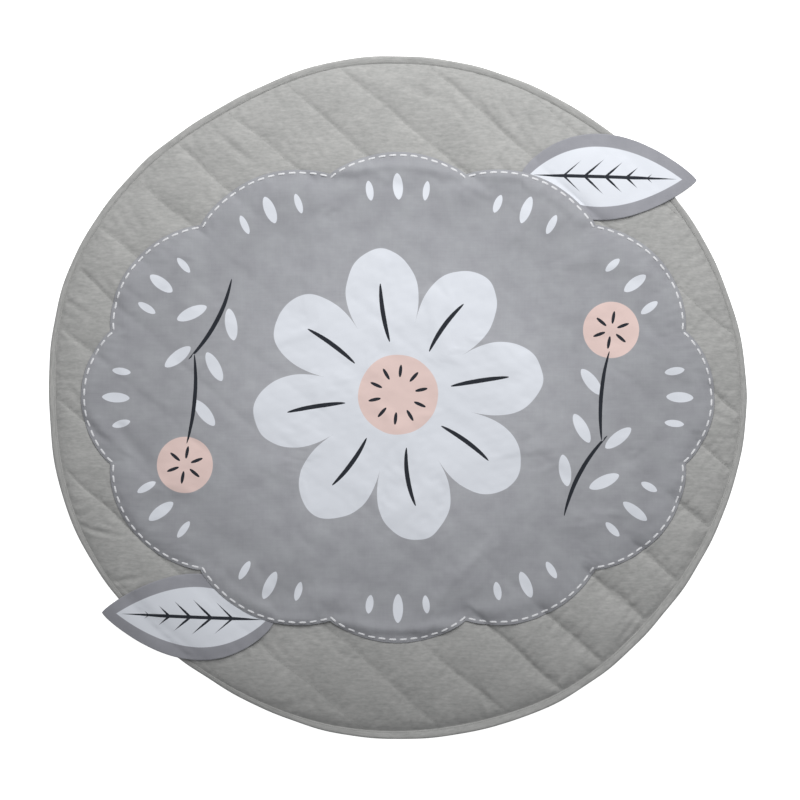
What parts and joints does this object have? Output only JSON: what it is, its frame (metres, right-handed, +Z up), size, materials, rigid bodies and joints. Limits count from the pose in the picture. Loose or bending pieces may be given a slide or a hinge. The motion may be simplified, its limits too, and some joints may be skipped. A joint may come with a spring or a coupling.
{
  "type": "round play mat",
  "caption": "Round padded play mat in grey marl jersey with slanting quilting, a bound rim, a scalloped cotton panel with a daisy print and leaf flaps.",
  "frame": {"origin": "on the floor under the middle of the mat", "axes": "+Z up out of the quilted face, +Y towards the top of the mat as it is pictured, +X to the right"},
  "size_m": [1, 0.9788, 0.0172],
  "materials": {
    "marl_jersey": "brushed marl jersey, matt",
    "binding_jersey": "marl jersey strip, matt",
    "panel_cotton": "plain woven cotton, printed, matt",
    "leaf_cotton": "plain woven cotton, printed, matt"
  },
  "bodies": {
    "root": {"quilted_pad": "marl_jersey", "edge_binding": "binding_jersey", "flower_panel": "panel_cotton", "leaf_upper": "leaf_cotton", "leaf_lower": "leaf_cotton"}
  },
  "joints": []
}
